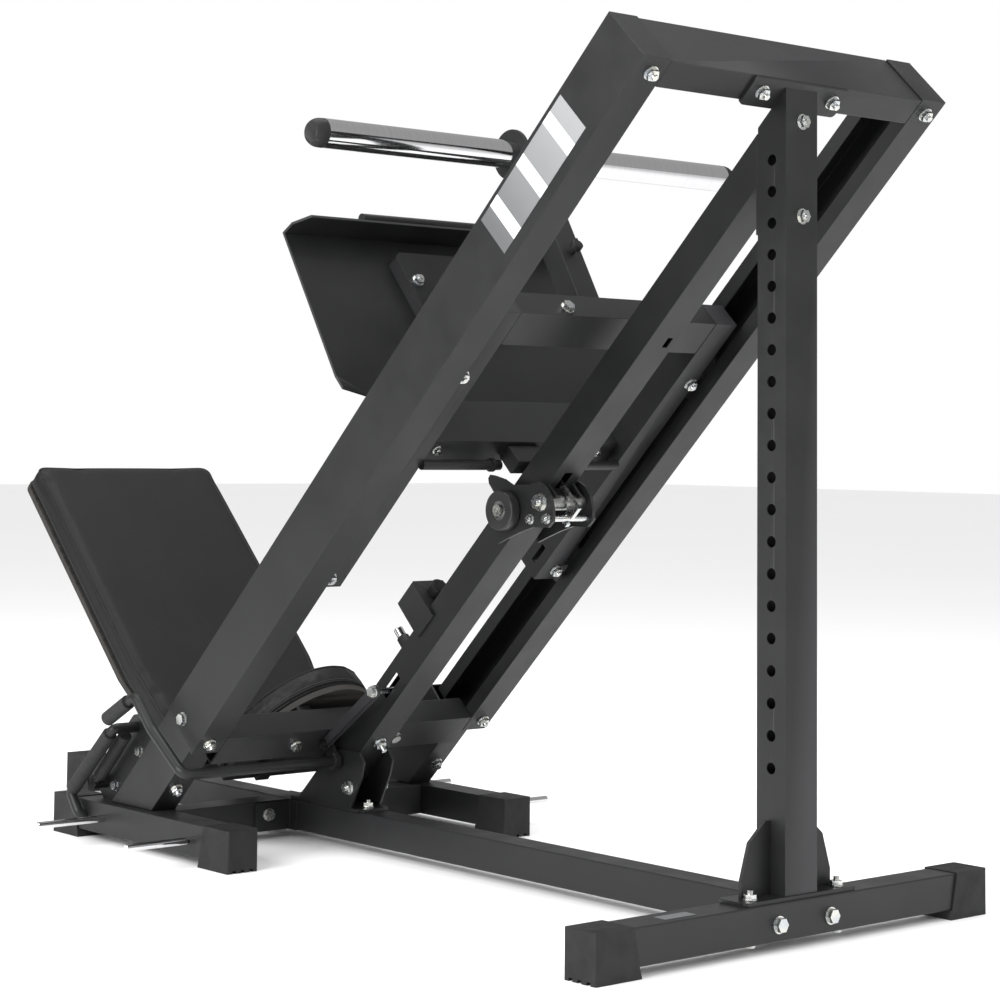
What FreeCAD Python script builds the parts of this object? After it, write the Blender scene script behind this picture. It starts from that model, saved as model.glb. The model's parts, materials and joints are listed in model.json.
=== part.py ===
"""45 degree plate-loaded leg press and hack squat machine, built from separate named pieces.

Units are millimetres. While modelling, X runs across the machine, Y runs from the rear beam towards
the seat and Z is up from the floor. Pieces on the slope are drawn in the rail frame, where X is the
same, S is the height square to the slope and U runs up the slope; tilt() turns them into place.
At the end everything moves along Y so that the origin is on the floor under the middle.
"""
import FreeCAD, Part
import math
import os

Vec = FreeCAD.Vector
X_AXIS = Vec(1, 0, 0)
Y_AXIS = Vec(0, 1, 0)
Z_AXIS = Vec(0, 0, 1)

# ---- driving dimensions -------------------------------------------------------------------
slope = 45.0                      # rail angle above the floor

base_w, base_h, base_z = 60.0, 58.0, 16.0      # floor tubes: width, height, clearance under them
tube_wall = 3.0
cap_wall = 3.5
rear_half = 447.0                 # rear beam half length, without its caps
rear_y = 4.0                      # back face of the rear beam
side_x = 331.0                    # middle of each side beam
side_y0, side_y1 = 1031.0, 1617.0
centre_y1 = 2110.0
cap_len = 90.0
cross_y = 1290.0                  # base cross tubes

upright_w, upright_d = 74.0, 59.0
upright_y = 11.0
hole_r = 9.0
hole_z0, hole_pitch, hole_count = 272.0, 50.0, 20
foot_t = 6.0
head_t = 6.0

rail_in, rail_out = 297.0, 357.0
rail_s0, rail_s1 = 957.5, 1066.0
rail_u0, rail_u1 = -680.0, 947.0
rail_wall, rail_lip = 4.0, 27.0
rail_s = (rail_s0 + rail_s1) / 2
beam_u0, beam_u1 = 897.0, 947.0

core_half = 32.0                  # centre tube on the slope, half width
core_s0, core_s1 = 890.0, 950.0

frame_s0, frame_s1 = 957.5, 1009.5   # seat cross tube, in S
low_u0, low_u1 = -715.0, -640.0
post_in, post_out = 285.0, 341.0
post_s0, post_s1 = 979.0, 1077.0

member_in, member_out = 233.0, 285.0
member_s0, member_s1 = 985.7, 1037.7
member_u0, member_u1 = -261.0, 406.0
carr_u0, carr_u1 = 334.0, 406.0
wheel_r, wheel_w, wheel_x = 49.8, 40.0, 328.0
wheel_us = (-235.0, 261.0)
axle_r = 8.0
sleeve_r, sleeve_half = 25.0, 478.0
neck_r = 24.6                     # the sleeve between its discs
sleeve_s, sleeve_u = 1353.4, 455.6
disc_x, disc_r = 52.0, 45.0

plate_half, plate_t = 350.0, 5.0
plate_top = (909.0, 1141.0)       # back face of the foot plate, (Y, Z) at the top fold
plate_low = (728.0, 845.0)        # and at the bottom fold
plate_flange = 53.0
heel_half, heel_s = 284.0, 1010.5
catch_bar_s, catch_bar_u, catch_bar_r = 985.0, 50.0, 9.0
catch_bar_end = 54.0

pivot_s, pivot_u = 866.0, 80.0    # catch pivot, in the rail frame
bushing_r = 14.0
catch_x, catch_t = 44.0, 6.0
idler_s, idler_u, idler_r = 916.0, 7.0, 35.0

stop_u0, stop_u1 = -345.0, -285.0
bumper_s, bumper_r, bumper_len = 981.0, 18.0, 22.0
pin_u = -412.0
stop_travel = 150.0

lever_s, lever_u = 916.0, -682.0  # hinge line of the safety lever
lever_x = -393.0
lever_r = 10.0
crank_pin_s, crank_pin_u = 946.0, -668.0
link_s, link_u = 920.0, -484.0

handle_x, handle_r = -374.0, 10.0

pad_u = -880.0                    # front face of the back pad
pad_half, pad_t, board_t = 230.0, 45.0, 12.0
pad_s0, pad_s1 = 1106.0, 1890.0
seat_half, seat_nose = 160.0, 213.0
seat_s0, seat_s1 = 1040.0, 1094.0
seat_u1 = -607.0
seat_u0 = -874.0

peg_r, peg_end, peg_z = 6.5, 508.0, 46.0
peg_ys = (1138.0, 1441.0)

parts = {}


# ---- helpers ------------------------------------------------------------------------------
def box(x0, x1, y0, y1, z0, z1):
    return Part.makeBox(x1 - x0, y1 - y0, z1 - z0, Vec(x0, y0, z0))


def tilt(shape):
    """Rail frame (X, S, U) to machine frame."""
    return shape.rotated(Vec(0, 0, 0), X_AXIS, slope)


def rail_point(x, s, u):
    c = math.cos(math.radians(slope))
    return Vec(x, (s - u) * c, (s + u) * c)


def mirror(shape):
    return shape.mirror(Vec(0, 0, 0), X_AXIS)


def tube(x0, x1, y0, y1, z0, z1, along, wall=tube_wall):
    """Rectangular tube, open at both ends, running along the named axis."""
    outer = box(x0, x1, y0, y1, z0, z1)
    inset = [wall, wall, wall]
    inset["XYZ".index(along)] = -1.0
    ix, iy, iz = inset
    return outer.cut(box(x0 + ix, x1 - ix, y0 + iy, y1 - iy, z0 + iz, z1 - iz))


def rod(start, end, radius):
    direction = end - start
    return Part.makeCylinder(radius, direction.Length, start, direction)


def prism(points, height, direction):
    """Closed flat outline pushed along a direction."""
    wire = Part.makePolygon(points + [points[0]])
    return Part.Face(wire).extrude(direction * height)


def round_edges(shape, radius, along):
    """Round the long edges that run along the given direction."""
    picked = []
    for edge in shape.Edges:
        if len(edge.Vertexes) != 2:
            continue
        run = edge.Vertexes[1].Point - edge.Vertexes[0].Point
        if run.Length > 1e-6 and abs(run.normalize().dot(along)) > 0.999:
            picked.append(edge)
    return shape.makeFillet(radius, picked)


def bent_tube(points, radius, bend):
    """Round bar along straight runs joined by tangent arcs."""
    edges = []
    last = points[0]
    for before, corner, after in zip(points, points[1:], points[2:]):
        to_before = (before - corner).normalize()
        to_after = (after - corner).normalize()
        half = to_before.getAngle(to_after) / 2
        reach = bend / math.tan(half)
        a = corner + to_before * reach
        b = corner + to_after * reach
        middle = (to_before + to_after).normalize()
        m = corner + middle * (bend / math.sin(half) - bend)
        edges.append(Part.LineSegment(last, a).toShape())
        edges.append(Part.Arc(a, m, b).toShape())
        last = b
    edges.append(Part.LineSegment(last, points[-1]).toShape())
    path = Part.Wire(edges)
    circle = Part.Circle(points[0], points[1] - points[0], radius).toShape()
    return path.makePipeShell([Part.Wire([circle])], True, False)


def hex_prism(centre, direction, across, height):
    """Hexagon across its flats, rising along a direction."""
    radius = across / math.sqrt(3)
    corners = [Vec(radius * math.cos(math.radians(60 * i)),
                   radius * math.sin(math.radians(60 * i)), 0) for i in range(6)]
    solid = prism(corners, height, Z_AXIS)
    turn = FreeCAD.Rotation(Z_AXIS, direction)
    solid.Placement = FreeCAD.Placement(centre, turn)
    return solid


def bolt_head(seat, direction, size=12.0, stub=0.0):
    """Washer, hexagon and thread end standing on a surface at seat, facing direction."""
    direction = Vec(direction).normalize()
    washer_t = size * 0.2
    head_h = size * 0.62
    washer = Part.makeCylinder(size * 1.05, washer_t, seat, direction)
    head = hex_prism(seat + direction * washer_t, direction, size * 1.55, head_h)
    solid = washer.fuse(head)
    if stub:
        solid = solid.fuse(Part.makeCylinder(size * 0.42, stub, seat + direction * (washer_t + head_h),
                                             direction))
    return solid


def shared(name, solids):
    parts[name] = Part.makeCompound(solids)


def pair(name, shape):
    """A left piece and its mirror image on the right."""
    parts[name + "_left"] = shape
    parts[name + "_right"] = mirror(shape)


# ---- base ---------------------------------------------------------------------------------
def end_cap(width, tube_height, length):
    """Rubber boot for a tube end at the origin; the tube runs towards +Y. Returned closed end at -Y."""
    half = width / 2 + cap_wall
    top = base_z + tube_height + cap_wall * 0.5
    side = [Vec(-half, -cap_wall, 0), Vec(-half, length, 0), Vec(-half, length - 4, base_z - 1),
            Vec(-half, length - 16, top), Vec(-half, -cap_wall, top)]
    body = prism(side, 2 * half, X_AXIS)
    body = round_edges(body, 4.0, Z_AXIS)
    socket = box(-width / 2, width / 2, 0, length + 1, base_z, base_z + tube_height)
    for i in range(3):
        x = (i - 1) * width / 3.2
        body = body.cut(box(x - 4, x + 4, -cap_wall - 1, 8, -1, 5))
    return body.cut(socket)


def placed(shape, x, y, angle):
    return shape.rotated(Vec(0, 0, 0), Z_AXIS, angle).translated(Vec(x, y, 0))


def build_base():
    z0, z1 = base_z, base_z + base_h
    half = base_w / 2
    parts["rear_beam"] = tube(-rear_half, rear_half, rear_y, rear_y + base_w, z0, z1, "X")
    parts["centre_beam"] = tube(-half, half, rear_y + base_w + 6, centre_y1, z0, z1, "Y")
    pair("side_beam", tube(-side_x - half, -side_x + half, side_y0, side_y1, z0, z1, "Y"))
    cap = end_cap(base_w, base_h, cap_len)
    rear_mid = rear_y + half
    caps = [placed(cap, -rear_half, rear_mid, -90), placed(cap, rear_half, rear_mid, 90)]
    caps.append(placed(cap, 0, centre_y1, 180))
    for x in (-side_x, side_x):
        caps.append(placed(cap, x, side_y0, 0))
        caps.append(placed(cap, x, side_y1, 180))
    shared("end_caps", caps)
    cross = tube(-side_x + half, -half - 6, cross_y, cross_y + base_w, z0, z1, "X")
    shared("base_cross_tubes", [cross, mirror(cross)])
    plate = box(-half - 6, -half, cross_y - 26, cross_y + base_w + 26, z0, z1)
    tab = box(-half - 86, -half - 6, cross_y - 6, cross_y, z0 + 2, z1 - 2)
    flange = plate.fuse(tab)
    end_flange = box(-85, 85, rear_y + base_w, rear_y + base_w + 6, z0, z1)
    shared("beam_flanges", [flange, mirror(flange), end_flange])


def build_pegs():
    pegs = []
    for side in (-1, 1):
        for y in peg_ys:
            start = Vec(side * (side_x + base_w / 2), y, peg_z)
            end = Vec(side * peg_end, y, peg_z)
            peg = rod(start, end, peg_r)
            pegs.append(peg.makeChamfer(1.2, [peg.Edges[0]]))
    shared("band_pegs", pegs)


# ---- upright and top ----------------------------------------------------------------------
def build_upright():
    half = upright_w / 2
    y0, y1 = upright_y, upright_y + upright_d
    z0 = base_z + base_h + foot_t
    body = tube(-half, half, y0, y1, z0, 1400, "Z")
    above = tilt(box(-half - 1, half + 1, rail_s0 - head_t, 1200, 600, 1300))
    body = body.cut(above)
    for i in range(hole_count):
        body = body.cut(Part.makeCylinder(hole_r, 2 * half + 2, Vec(-half - 1, y0 + upright_d / 2,
                                          hole_z0 + i * hole_pitch), X_AXIS))
    head = box(-112, 112, rail_s0 - head_t, rail_s0, 892, 946)
    parts["upright"] = body.fuse(tilt(round_edges(head, 8, Y_AXIS)))
    bottom = base_z + base_h
    plate = round_edges(box(-128, 128, rear_y + 4, rear_y + base_w + 4, bottom, bottom + foot_t), 8, Z_AXIS)
    gusset_y = y0 + 30
    outline = [Vec(-half, gusset_y, z0), Vec(-half - 66, gusset_y, z0), Vec(-half - 66, gusset_y, z0 + 26),
               Vec(-half - 48, gusset_y, z0 + 82), Vec(-half - 12, gusset_y, z0 + 112),
               Vec(-half, gusset_y, z0 + 112)]
    gusset = prism(outline, 6, Y_AXIS)
    parts["upright_foot"] = plate.fuse([gusset, mirror(gusset)])


def build_top():
    parts["top_beam"] = tilt(tube(-rail_in, rail_in, rail_s0, rail_s1, beam_u0, beam_u1, "X"))


def build_rails():
    outer = box(-rail_out, -rail_in, rail_s0, rail_s1, rail_u0, rail_u1)
    inner = box(-rail_out + rail_wall, -rail_in - rail_wall, rail_s0 + rail_wall, rail_s1 - rail_wall,
                rail_u0 + rail_wall, rail_u1 - rail_wall)
    mouth = box(-rail_in - rail_wall - 1, -rail_in + 1, rail_s0 + rail_lip, rail_s1 - rail_lip,
                rail_u0 + rail_wall, rail_u1 - rail_wall)
    end_plate = box(-rail_out, -rail_in, rail_s0, rail_s1, rail_u1, rail_u1 + 3)
    pair("rail", tilt(outer.cut(inner).cut(mouth).fuse(end_plate)))
    body = tube(-post_out, -post_in, post_s0, post_s1, -1200, rail_u0, "Z")
    floor_cut = box(-400, 400, 900, 1900, -600, base_z + base_h)
    post = tilt(body).cut(floor_cut)
    shared("lower_posts", [post, mirror(post)])
    cross = tube(-rail_in, rail_in, frame_s0, frame_s1, low_u0, low_u1, "X")
    end = box(-post_out, -post_in, post_s0, post_s1, -800, rail_u0)
    parts["seat_cross_tube"] = tilt(cross.cut(end).cut(mirror(end)))


def build_centre():
    body = tilt(tube(-core_half, core_half, core_s0, core_s1, -1000, 1000, "Z"))
    top_y = upright_y + upright_d + foot_t
    body = body.cut(box(-100, 100, -300, top_y, 0, 2000))
    body = body.cut(box(-100, 100, 900, 2000, -300, base_z + base_h + foot_t))
    slot = box(-core_half - 1, -core_half + tube_wall + 1, link_s - 8, link_s + 8, link_u - 14, link_u + 44)
    drop = box(-9, 9, core_s0 - 1, core_s0 + tube_wall + 1, pivot_u + 8, pivot_u + 48)
    sight = box(8, 20, core_s0 - 1, core_s0 + tube_wall + 1, 430, 452)
    body = body.cut(tilt(slot)).cut(tilt(drop)).cut(tilt(sight))
    track = box(-5.4, 5.4, core_s1 - tube_wall - 1, core_s1 + 1, pin_u - stop_travel - 6, pin_u + 6)
    body = body.cut(tilt(track))
    head = box(-35, 35, top_y - foot_t, top_y, 1105, 1262)
    parts["centre_tube"] = body.fuse([head] + pivot_lugs())
    z0 = base_z + base_h
    foot = box(-30, 30, 1062, 1290, z0, z0 + foot_t)
    outline = [Vec(-core_half - 5, 1092, z0 + foot_t), Vec(-core_half - 5, 1215, z0 + foot_t),
               Vec(-core_half - 5, 1176, 150), Vec(-core_half - 5, 1145, 186), Vec(-core_half - 5, 1068, 186),
               Vec(-core_half - 5, 1054, 168), Vec(-core_half - 5, 1062, 140)]
    hinge = rail_point(-core_half - 10, lever_s, lever_u)
    cheek = prism(outline, 5, X_AXIS).cut(Part.makeCylinder(lever_r + 0.05, 20, hinge, X_AXIS))
    parts["centre_foot"] = foot.fuse([box(-core_half - 5, core_half + 5, 1072, 1215, z0 + 0.5, z0 + foot_t),
                                      cheek, mirror(cheek)])


def pivot_lugs():
    """Ears under the centre tube that hold the bushing of the catch."""
    lugs = []
    for x in (-core_half, core_half - 6):
        lug = box(x, x + 6, pivot_s - 4, core_s0, pivot_u - 20, pivot_u + 20)
        lugs.append(tilt(lug.cut(Part.makeCylinder(bushing_r, 20, Vec(x - 5, pivot_s, pivot_u), X_AXIS))))
    return lugs


# ---- carriage -----------------------------------------------------------------------------
def build_carriage():
    member = tube(-member_out, -member_in, member_s0, member_s1, member_u0, member_u1, "Z")
    lid = box(-member_out + 0.5, -member_in - 0.5, member_s0 + 0.5, member_s1 - 0.5, member_u1 - 3, member_u1)
    slot = box(-member_in - tube_wall - 1, -member_in + 1, 1006, 1017, -238, -196)
    pair("carriage_side", tilt(member.fuse(lid).cut(slot)))
    cross = tube(-member_in, member_in, member_s0, member_s1, carr_u0, carr_u1, "X")
    parts["carriage_cross"] = tilt(cross)
    build_arm()
    build_wheels()
    build_catch_bars()


def arm_line(s):
    """Back face of the arm, in U, at height S."""
    return 357.5 + 0.281 * (s - 1009.5)


def build_arm():
    depth, half = 46.0, 25.0
    s0, s1 = member_s1, sleeve_s + 22
    outline = [Vec(-half, s0, arm_line(s0)), Vec(-half, s1, arm_line(s1)),
               Vec(-half, s1, arm_line(s1) - depth), Vec(-half, s0, arm_line(s0) - depth)]
    solid = prism(outline, 2 * half, X_AXIS)
    wall = tube_wall
    inner = [Vec(-half + wall, s0 - 1, arm_line(s0 - 1) - wall), Vec(-half + wall, s1 - wall, arm_line(s1) - wall),
             Vec(-half + wall, s1 - wall, arm_line(s1) - depth + wall),
             Vec(-half + wall, s0 - 1, arm_line(s0 - 1) - depth + wall)]
    solid = solid.cut(prism(inner, 2 * (half - wall), X_AXIS))
    bar = Part.makeCylinder(neck_r, 200, Vec(-100, sleeve_s, sleeve_u), X_AXIS)
    parts["sleeve_arm"] = tilt(solid.cut(bar))
    root = disc_x + 6
    middle = Part.makeCylinder(neck_r, 2 * root, Vec(-root, sleeve_s, sleeve_u), X_AXIS)
    outer = [Part.makeCylinder(sleeve_r, sleeve_half - root, Vec(side * root, sleeve_s, sleeve_u),
                               Vec(side, 0, 0)) for side in (-1, 1)]
    parts["weight_sleeve"] = tilt(middle.fuse(outer))
    discs = []
    caps = []
    for side in (-1, 1):
        start = Vec(side * disc_x, sleeve_s, sleeve_u)
        ring = Part.makeCylinder(disc_r, 6, start, Vec(side, 0, 0))
        ring = ring.cut(Part.makeCylinder(neck_r, 40, Vec(side * disc_x - 20, sleeve_s, sleeve_u), X_AXIS))
        discs.append(tilt(ring))
        seat = Vec(side * sleeve_half, sleeve_s, sleeve_u)
        rim = Part.makeCylinder(sleeve_r - 0.3, 6, seat, Vec(side, 0, 0))
        dome = Part.makeSphere(sleeve_r - 0.3, seat + Vec(side * 6, 0, 0))
        keep = Part.makeCylinder(sleeve_r + 3, 23, seat, Vec(side, 0, 0))
        caps.append(tilt(rim.fuse(dome.common(keep))))
    shared("sleeve_discs", discs)
    shared("sleeve_end_caps", caps)
    knob_s = 1160.0
    knob_u = arm_line(knob_s)
    neck = Part.makeCylinder(5, 10, Vec(0, knob_s, knob_u), Z_AXIS)
    knob = Part.makeCylinder(11, 14, Vec(0, knob_s, knob_u + 10), Z_AXIS)
    knob = knob.makeFillet(3, [e for e in knob.Edges if len(e.Vertexes) == 1])
    parts["arm_knob"] = tilt(neck.fuse(knob).cut(solid))


def build_wheels():
    count = 0
    for side in (-1, 1):
        for u in wheel_us:
            count += 1
            name = ("left" if side < 0 else "right") + ("_low" if u < 0 else "_high")
            middle = Vec(side * wheel_x, rail_s, u)
            start = middle - X_AXIS * (wheel_w / 2)
            wheel = Part.makeCylinder(wheel_r, wheel_w, start, X_AXIS)
            wheel = wheel.makeFillet(3, [e for e in wheel.Edges if len(e.Vertexes) == 1])
            bore = Part.makeCylinder(axle_r + 0.05, wheel_w + 2, start - X_AXIS, X_AXIS)
            recess = Part.makeCylinder(30, 8, start - X_AXIS, X_AXIS)
            far = Part.makeCylinder(30, 8, start + X_AXIS * (wheel_w - 7), X_AXIS)
            parts["rail_wheel_" + name] = tilt(wheel.cut(bore).cut(recess).cut(far))
    axles = []
    for side in (-1, 1):
        for u in wheel_us:
            start = Vec(side * member_out, rail_s, u)
            shaft = Part.makeCylinder(axle_r, wheel_x + wheel_w / 2 - member_out + 2, start, Vec(side, 0, 0))
            collar = Part.makeCylinder(13, wheel_x - wheel_w / 2 - member_out - 0.5, start, Vec(side, 0, 0))
            axles.append(tilt(shaft.fuse(collar)))
    shared("wheel_axles", axles)


def build_catch_bars():
    bars = []
    for side in (-1, 1):
        start = Vec(side * catch_bar_end, catch_bar_s, catch_bar_u)
        end = Vec(side * member_in, catch_bar_s, catch_bar_u)
        bar = rod(start, end, catch_bar_r)
        collar = Part.makeCylinder(catch_bar_r + 3, 7, Vec(side * (catch_bar_end + 16), catch_bar_s, catch_bar_u),
                                   Vec(side, 0, 0))
        bars.append(tilt(bar.fuse(collar)))
    shared("catch_bars", bars)


def plate_sheet(points, half, thickness, side):
    """Strip of sheet through (Y, Z) points, thickened to one side."""
    solids = []
    for (ya, za), (yb, zb) in zip(points, points[1:]):
        run = Vec(0, yb - ya, zb - za).normalize()
        across = run.cross(X_AXIS) * side
        a = Vec(-half, ya, za)
        b = Vec(-half, yb, zb)
        solids.append(prism([a, b, b + across * thickness, a + across * thickness], 2 * half, X_AXIS))
    return solids


def build_foot_plate():
    run = Vec(0, plate_top[0] - plate_low[0], plate_top[1] - plate_low[1])
    length = run.Length
    run.normalize()
    back = Vec(0, -run.z, run.y)
    low = Vec(0, plate_low[0], plate_low[1])
    half = plate_half
    cut_x, cut_l, neck = 44.0, 20.0, heel_half
    outline = [low + Vec(-neck, 0, 0), low + Vec(-neck, 0, 0) + run * 2, low + Vec(-half + 6, 0, 0) + run * cut_l,
               low + Vec(-half, 0, 0) + run * cut_x, low + Vec(-half, 0, 0) + run * length]
    outline += [Vec(-p.x, p.y, p.z) for p in reversed(outline)]
    face = prism(outline, plate_t, back * -1)
    top = low + run * length
    corner = 26.0
    lip = [top + Vec(-half, 0, 0), top + Vec(-half, 0, 0) + back * (plate_flange - corner),
           top + Vec(-half + corner, 0, 0) + back * plate_flange,
           top + Vec(half - corner, 0, 0) + back * plate_flange,
           top + Vec(half, 0, 0) + back * (plate_flange - corner), top + Vec(half, 0, 0)]
    flange = prism(lip, plate_t, run * -1)
    heel_u = (plate_low[1] - plate_low[0]) / math.sqrt(2)
    low_s = (plate_low[0] + plate_low[1]) / math.sqrt(2)
    heel = tilt(box(-heel_half, heel_half, heel_s, low_s - 1, heel_u - plate_t, heel_u))
    lip2 = tilt(box(-heel_half, heel_half, heel_s, heel_s + plate_t, heel_u - 48, heel_u - plate_t))
    lug = tilt(round_edges(box(-36, 36, 966, heel_s, 46, 76), 4, X_AXIS))
    bar_at = top + back * (plate_flange - 10) + run * 9.2
    bar = rod(bar_at + Vec(-200, 0, 0), bar_at + Vec(200, 0, 0), 9.5)
    side = tilt(box(-member_out, -member_in, member_s0, member_s1, 0, 200))
    parts["foot_plate"] = face.fuse([flange, heel, lip2, lug, bar]).cut(side).cut(mirror(side))
    build_plate_mount(low, run, back)


def build_plate_mount(low, run, back):
    lower, upper, half, depth = 150.0, 300.0, 135.0, 26.0
    a = low + run * lower
    b = low + run * upper
    face = [a + Vec(-half + 22, 0, 0), b + Vec(-half, 0, 0) - run * 12, b + Vec(-half + 12, 0, 0)]
    face += [Vec(-p.x, p.y, p.z) for p in reversed(face)]
    block = prism(face, depth, back)
    hollow = [Vec(p.x * 0.96, p.y, p.z) for p in face]
    block = block.cut(prism(hollow, depth - 4, back).translated(run * -6))
    parts["plate_mount"] = block
    middle = low + run * 225 + back * depth
    s_mid = (middle.y + middle.z) / math.sqrt(2)
    u_mid = (middle.z - middle.y) / math.sqrt(2)
    front = arm_line(s_mid) - 46.0
    s0, s1 = s_mid - 22, s_mid + 22
    tilt_u = 0.2414
    outline = [Vec(-22, s0, u_mid - 22 * tilt_u), Vec(-22, s1, u_mid + 22 * tilt_u),
               Vec(-22, s1, front + 22 * 0.281), Vec(-22, s0, front - 22 * 0.281)]
    solid = prism(outline, 44, X_AXIS)
    hole = box(-19, 19, s0 + 3, s1 - 3, u_mid - 60, front + 60)
    parts["plate_strut"] = tilt(solid.cut(hole))


# ---- catch, stop and safety lever ---------------------------------------------------------
def build_catch():
    ear = [(892, -52), (912, -30), (936, 2), (966, 3), (984, 4), (992, 9), (993, 17), (984, 24), (962, 38),
           (940, 46), (930, 58), (912, 76), (897, 100), (880, 106), (858, 104), (836, 92), (823, 78), (824, 62),
           (851, 34), (866, 6), (880, -24)]
    idler_boss = Part.makeCylinder(idler_r + 3, catch_t, Vec(-catch_x - catch_t, idler_s, idler_u), X_AXIS)
    wire_points = [Vec(-catch_x - catch_t, s, u) for s, u in ear]
    plate = prism(wire_points, catch_t, X_AXIS).fuse(idler_boss)
    for s, u, r in ((pivot_s, pivot_u, 7.95), (864.0, 40.0, 5.0), (836.0, 71.0, 5.0)):
        plate = plate.cut(Part.makeCylinder(r, 20, Vec(-catch_x - 13, s, u), X_AXIS))
    plate = plate.removeSplitter()
    shared("catch_plates", [tilt(plate), tilt(mirror(plate))])
    bolts = [catch_bolt(864.0, 40.0, 5.0, 9.0, 3.0), catch_bolt(836.0, 71.0, 5.0, 9.0, 3.0)]
    bolts.append(catch_bolt(pivot_s, pivot_u, 7.95, 15.0, 5.0))
    sleeve = Part.makeCylinder(bushing_r, 2 * catch_x - 1, Vec(-catch_x + 0.5, pivot_s, pivot_u), X_AXIS)
    sleeve = sleeve.cut(Part.makeCylinder(8.0, 2 * catch_x + 2, Vec(-catch_x - 1, pivot_s, pivot_u), X_AXIS))
    parts["catch_bushing"] = tilt(sleeve)
    x0 = -catch_x - catch_t - 22
    wheel = Part.makeCylinder(idler_r, 20, Vec(x0, idler_s, idler_u), X_AXIS)
    wheel = wheel.makeFillet(2.5, [e for e in wheel.Edges if len(e.Vertexes) == 1])
    wheel = wheel.cut(Part.makeCylinder(17.05, 30, Vec(x0 - 2, idler_s, idler_u), X_AXIS))
    parts["idler_wheel"] = tilt(wheel)
    bearing = Part.makeCylinder(17.0, 18, Vec(x0 + 1, idler_s, idler_u), X_AXIS)
    groove = Part.makeCylinder(14, 3, Vec(x0 + 0.5, idler_s, idler_u), X_AXIS)
    groove = groove.cut(Part.makeCylinder(10, 5, Vec(x0, idler_s, idler_u), X_AXIS))
    bearing = bearing.cut(groove).cut(Part.makeCylinder(7.05, 30, Vec(x0 - 2, idler_s, idler_u), X_AXIS))
    parts["idler_bearing"] = tilt(bearing)
    shaft = Part.makeCylinder(7.0, 25, Vec(x0 - 3, idler_s, idler_u), X_AXIS)
    head = Part.makeCylinder(10.5, 3, Vec(x0 - 4, idler_s, idler_u), X_AXIS)
    socket = hex_prism(Vec(x0 - 5, idler_s, idler_u), X_AXIS, 8, 5)
    bolts.append(tilt(shaft.fuse(head).cut(socket)))
    shared("catch_bolts", bolts)


def catch_bolt(s, u, radius, size, stub):
    """Bolt through both catch plates with a head outside each."""
    reach = catch_x + catch_t
    shank = Part.makeCylinder(radius, 2 * reach, Vec(-reach, s, u), X_AXIS)
    heads = [bolt_head(Vec(side * reach, s, u), Vec(side, 0, 0), size, stub) for side in (-1, 1)]
    return tilt(shank.fuse(heads))


def build_stop():
    gap = 0.4
    half = core_half + gap
    body = round_edges(box(-half - 5, half + 5, core_s1 - 20, 1013, stop_u0, stop_u1), 3, Z_AXIS)
    body = body.cut(box(-half, half, core_s1 - 40, core_s1 + gap, stop_u0 - 1, stop_u1 + 1))
    tab = box(-16, 16, core_s1 + gap, core_s1 + gap + 8, pin_u - 18, stop_u0)
    barrel = Part.makeCylinder(12, 26, Vec(0, core_s1 + gap + 8, pin_u), Y_AXIS)
    body = body.fuse([tab, barrel]).cut(Part.makeCylinder(5.05, 80, Vec(0, core_s1 - 20, pin_u), Y_AXIS))
    parts["stop_block"] = tilt(body)
    rubber = Part.makeCylinder(bumper_r, bumper_len, Vec(0, bumper_s, stop_u1), Z_AXIS)
    rubber = rubber.makeFillet(4, [e for e in rubber.Edges if len(e.Vertexes) == 1
                                   and e.CenterOfMass.z > stop_u1 + 1])
    parts["stop_bumper"] = tilt(rubber)
    pin = Part.makeCylinder(5.0, 60, Vec(0, core_s1 - 7, pin_u), Y_AXIS)
    knob = Part.makeCylinder(9, 20, Vec(0, core_s1 + 36, pin_u), Y_AXIS)
    knob = knob.makeFillet(2, [e for e in knob.Edges if len(e.Vertexes) == 1])
    parts["stop_pin"] = tilt(pin.fuse(knob))


def build_lever():
    low = rail_point(lever_x, lever_s, lever_u)
    inner = Vec(-core_half - 0.5, low.y, low.z)
    knee = Vec(lever_x, 1235, 237)
    high = Vec(lever_x, 1292, 292)
    grip_dir = Vec(0, 0.88, -0.475).normalize()
    bar = bent_tube([inner, low, knee, high, high + grip_dir * 101], lever_r, 18)
    parts["lever_bar"] = bar
    grip = Part.makeCylinder(14.0, 78, high + grip_dir * 27, grip_dir)
    parts["lever_grip"] = grip.cut(Part.makeCylinder(lever_r, 74, high + grip_dir * 27, grip_dir))
    arm_x = -core_half - 22
    pin = Vec(arm_x, crank_pin_s, crank_pin_u)
    root = Vec(arm_x, lever_s, lever_u)
    arm = slotted_arm(root, pin, 17, 9, 6)
    hub = Part.makeCylinder(17, 16, Vec(arm_x - 4, lever_s, lever_u), X_AXIS)
    arm = arm.fuse(hub).cut(Part.makeCylinder(lever_r, 60, Vec(arm_x - 20, lever_s, lever_u), X_AXIS))
    stud = Part.makeCylinder(4.8, 17, Vec(arm_x - 12, crank_pin_s, crank_pin_u), X_AXIS)
    nut = bolt_head(Vec(arm_x - 11, crank_pin_s, crank_pin_u), Vec(-1, 0, 0), 9, 3)
    parts["lever_crank"] = tilt(arm.fuse([stud, nut]))


def slotted_arm(a, b, ra, rb, thickness):
    """Flat arm with round ends between two rail-frame points."""
    run = (b - a)
    length = run.Length
    run.normalize()
    across = run.cross(X_AXIS)
    body = prism([a + across * ra, b + across * rb, b - across * rb, a - across * ra], thickness, X_AXIS)
    ends = [Part.makeCylinder(ra, thickness, a, X_AXIS), Part.makeCylinder(rb, thickness, b, X_AXIS)]
    return body.fuse(ends)


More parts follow.
